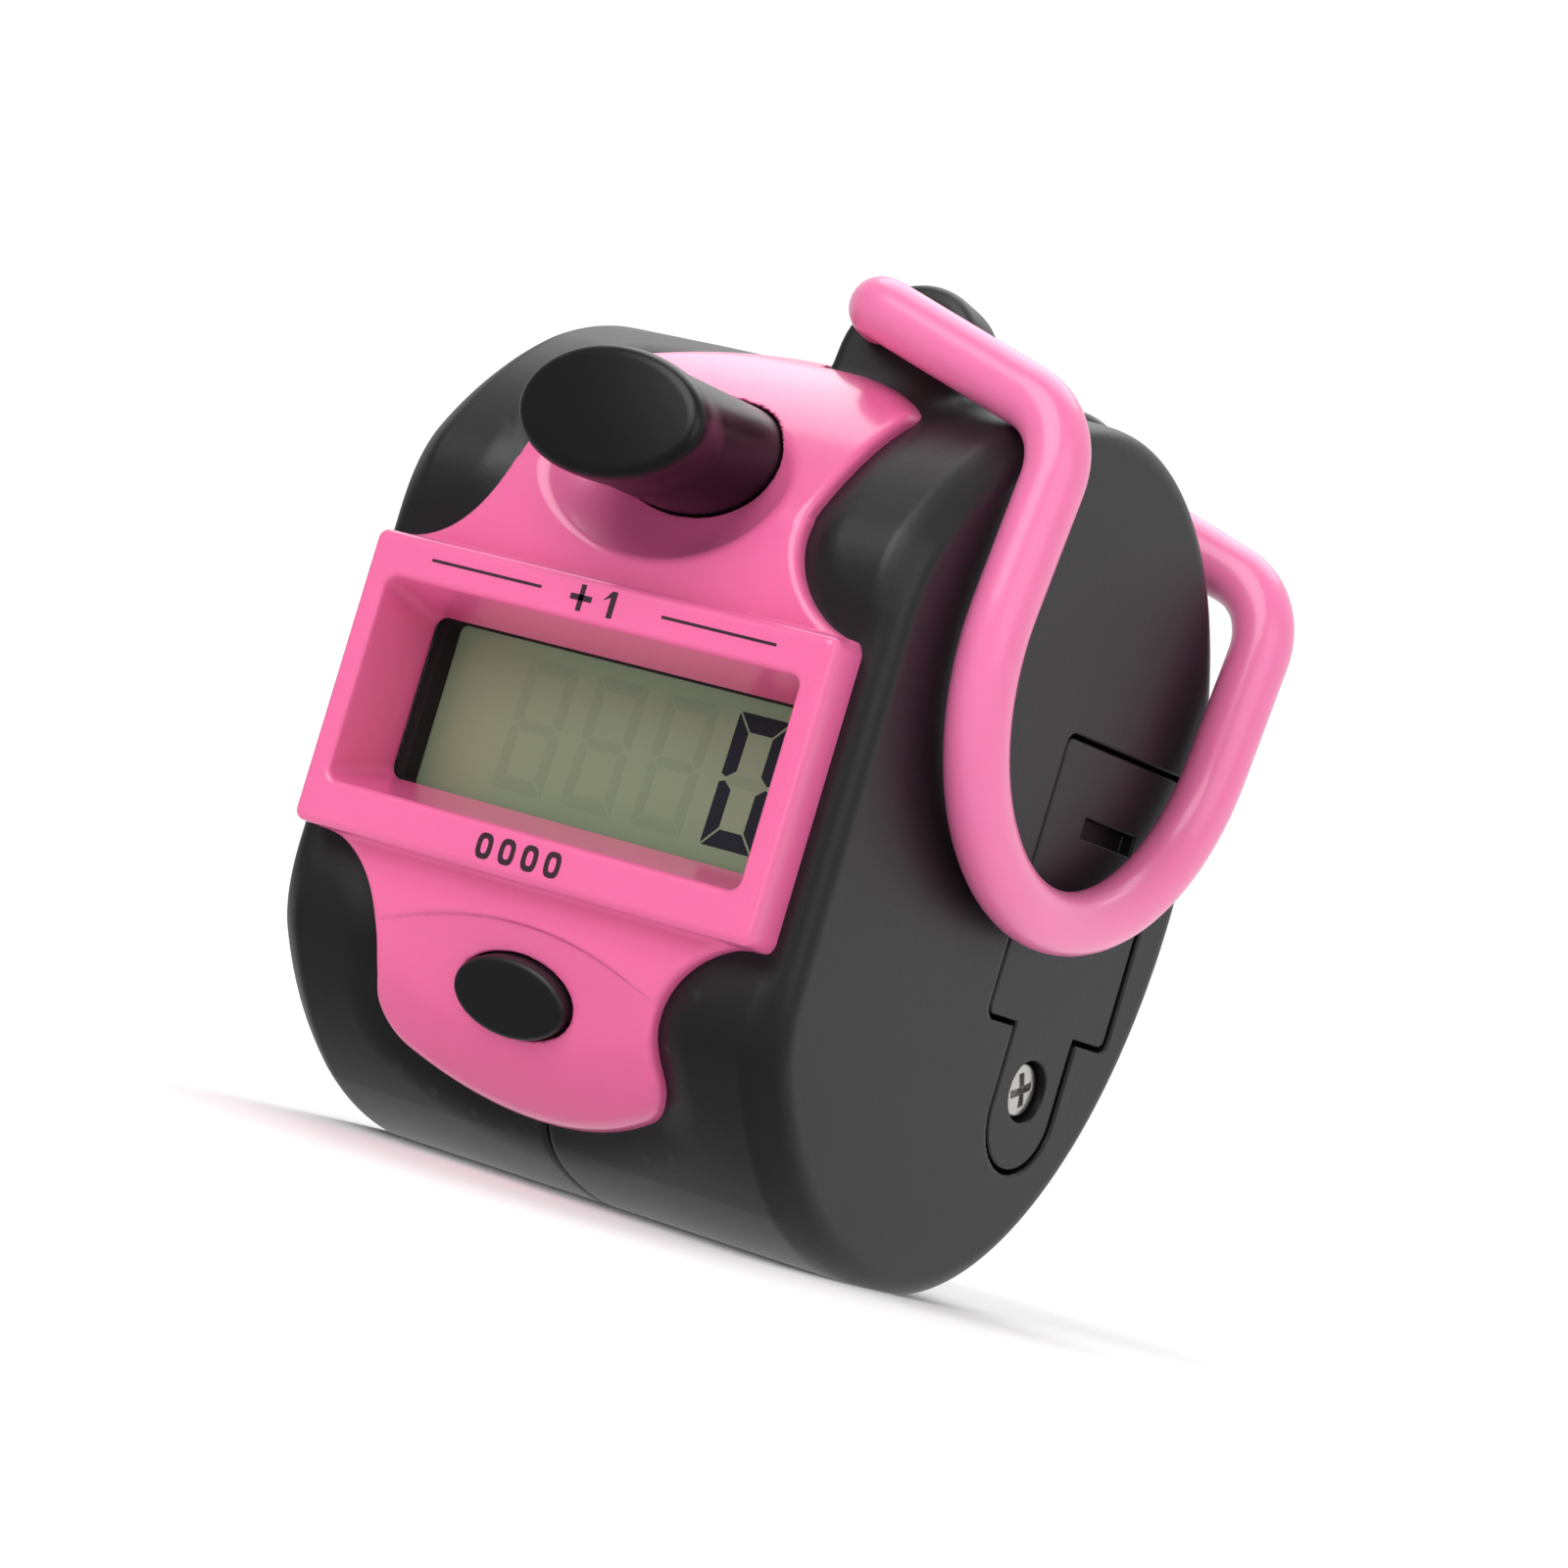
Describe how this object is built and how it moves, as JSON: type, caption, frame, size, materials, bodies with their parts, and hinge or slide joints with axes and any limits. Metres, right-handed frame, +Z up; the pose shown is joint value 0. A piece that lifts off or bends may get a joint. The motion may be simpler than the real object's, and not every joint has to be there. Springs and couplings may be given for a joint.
{
  "type": "hand tally counter",
  "caption": "Hand-held tally counter with an oval two-half case, display frame, thumb plunger, reset button, swinging finger ring and side battery door",
  "frame": {"origin": "centre of the small flat under the case, on the plane where the two case halves meet", "axes": "+X to the side that carries the finger ring and the battery door, -Y out of the display, +Z up through the ring's ears"},
  "size_m": [0.0372, 0.0413, 0.0515],
  "materials": {
    "case_black": "satin black ABS, fine grain",
    "pink_gloss": "glossy pink ABS",
    "ring_pink": "semi-gloss pink nylon",
    "button_black": "gloss black",
    "gasket": "black foam rubber",
    "lcd": "grey-green reflective display glass",
    "zebra": "layered elastomer",
    "holder": "natural white ABS",
    "pcb": "green solder mask",
    "epoxy": "black potting",
    "switch": "black switch body",
    "spring_steel": "drawn spring wire",
    "steel": "nickel-plated screws",
    "cell": "nickel-plated can",
    "contact": "plated contact strip",
    "wire_red": "red insulation",
    "wire_black": "black insulation",
    "component": "small components"
  },
  "bodies": {
    "counter": {"case_left": "case_black", "case_right": "case_black", "fascia": "pink_gloss", "lcd_gasket": "gasket", "lcd_glass": "lcd", "zebra_strips": "zebra", "lcd_holder": "holder", "circuit_board": "pcb", "chip_blob": "epoxy", "count_spring": "spring_steel", "count_switch": "switch", "reset_switch": "switch", "battery_door": "case_black", "door_screw": "steel", "button_cell": "cell", "clip_plus": "contact", "clip_minus": "contact", "wire_plus": "wire_red", "wire_minus": "wire_black", "case_screws_set": "steel", "board_screws": "steel", "resistor": "component", "capacitor": "component"},
    "plunger": {"count_button": "button_black"},
    "reset": {"reset_button": "button_black"},
    "ring": {"finger_ring": "ring_pink"}
  },
  "joints": [
    {"name": "count_press", "type": "slide", "parent": "counter", "child": "plunger", "axis": [0, 1, 0], "range_m": [0, 0.0018], "stiffness_N_per_m": 600, "springref_m": -0.001, "deforming": ["count_spring"]},
    {"name": "reset_press", "type": "slide", "parent": "counter", "child": "reset", "axis": [0, 0.9397, 0.342], "range_m": [0, 0.0008], "stiffness_N_per_m": 900, "springref_m": -0.0008},
    {"name": "ring_swing", "type": "hinge", "parent": "counter", "child": "ring", "pos_m": [0.00375, 0.0029, 0.0477], "axis": [0, -0.9903, 0.1392], "range_deg": [0, 190]}
  ]
}
